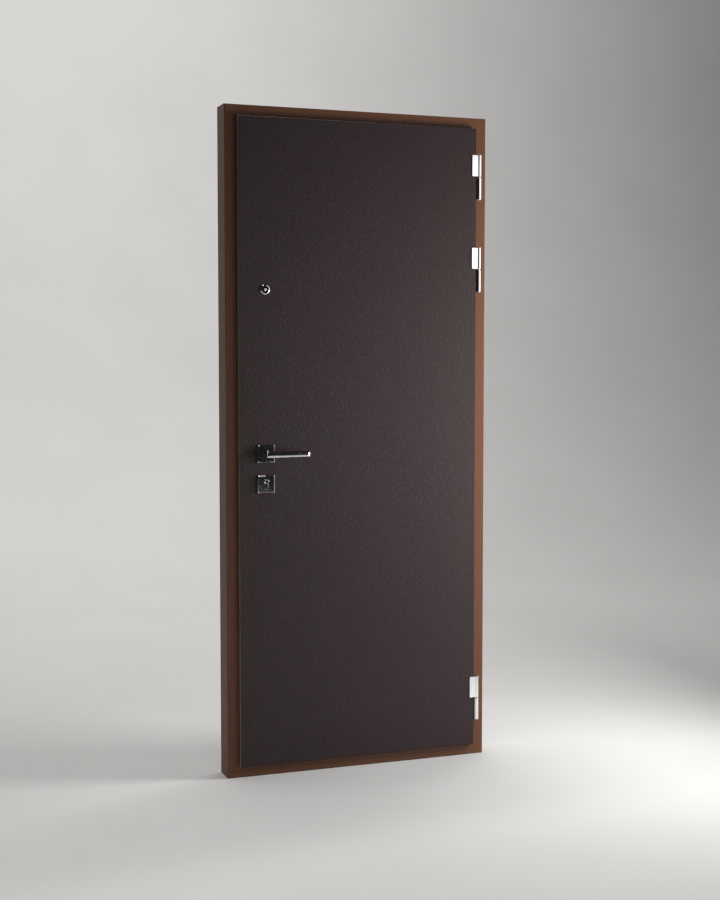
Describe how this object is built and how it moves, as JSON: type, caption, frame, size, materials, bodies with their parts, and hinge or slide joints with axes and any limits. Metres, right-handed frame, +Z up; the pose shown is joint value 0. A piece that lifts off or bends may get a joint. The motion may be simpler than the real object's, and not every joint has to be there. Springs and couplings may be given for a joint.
{
  "type": "steel entrance door with frame",
  "caption": "Outward-opening steel entrance door hung on lift-off hinges in a four-sided frame, with lever handles, profile lock cylinder and door viewer.",
  "frame": {"origin": "middle of the threshold's underside, at floor level", "axes": "+Z up, +Y into the building through the doorway, +X towards the hinge side"},
  "size_m": [0.86, 0.174, 2.05],
  "materials": {
    "frame_paint": "satin copper-brown powder coat",
    "leaf_coating": "dark brown embossed coating, satin",
    "seal_rubber": "matt black",
    "lock_steel": "zinc plated",
    "viewer_glass": "clear",
    "chrome_plate": "polished"
  },
  "bodies": {
    "frame": {"lock_jamb": "frame_paint", "hinge_jamb": "frame_paint", "head": "frame_paint", "threshold": "frame_paint", "stop_seal": "seal_rubber", "strike_plate": "lock_steel", "hinge_top_frame_knuckle": "chrome_plate", "hinge_top_washer": "lock_steel", "hinge_top_pin": "lock_steel", "hinge_middle_frame_knuckle": "chrome_plate", "hinge_middle_washer": "lock_steel", "hinge_middle_pin": "lock_steel", "hinge_bottom_frame_knuckle": "chrome_plate", "hinge_bottom_washer": "lock_steel", "hinge_bottom_pin": "lock_steel"},
    "leaf": {"leaf_skin": "leaf_coating", "leaf_core": "frame_paint", "inner_panel": "leaf_coating", "leaf_seal": "seal_rubber", "lock_faceplate": "lock_steel", "latch": "lock_steel", "dead_bolts": "lock_steel", "outer_rose": "chrome_plate", "inner_rose": "chrome_plate", "outer_escutcheon": "chrome_plate", "inner_escutcheon": "chrome_plate", "lock_cylinder": "chrome_plate", "viewer_barrel": "chrome_plate", "viewer_eyepiece": "chrome_plate", "viewer_lens": "viewer_glass", "hinge_top_leaf_knuckle": "chrome_plate", "hinge_middle_leaf_knuckle": "chrome_plate", "hinge_bottom_leaf_knuckle": "chrome_plate"},
    "handle": {"outer_lever": "chrome_plate", "inner_lever": "chrome_plate", "spindle": "lock_steel"}
  },
  "joints": [
    {"name": "leaf_swing", "type": "hinge", "parent": "frame", "child": "leaf", "pos_m": [0.4022, -0.05, 0], "axis": [0, 0, 1], "range_deg": [0, 170]},
    {"name": "lever_turn", "type": "hinge", "parent": "leaf", "child": "handle", "pos_m": [-0.309, -0.054, 1], "axis": [0, 1, 0], "range_deg": [0, 40], "stiffness_Nm_per_rad": 2, "springref_deg": -28.65}
  ]
}
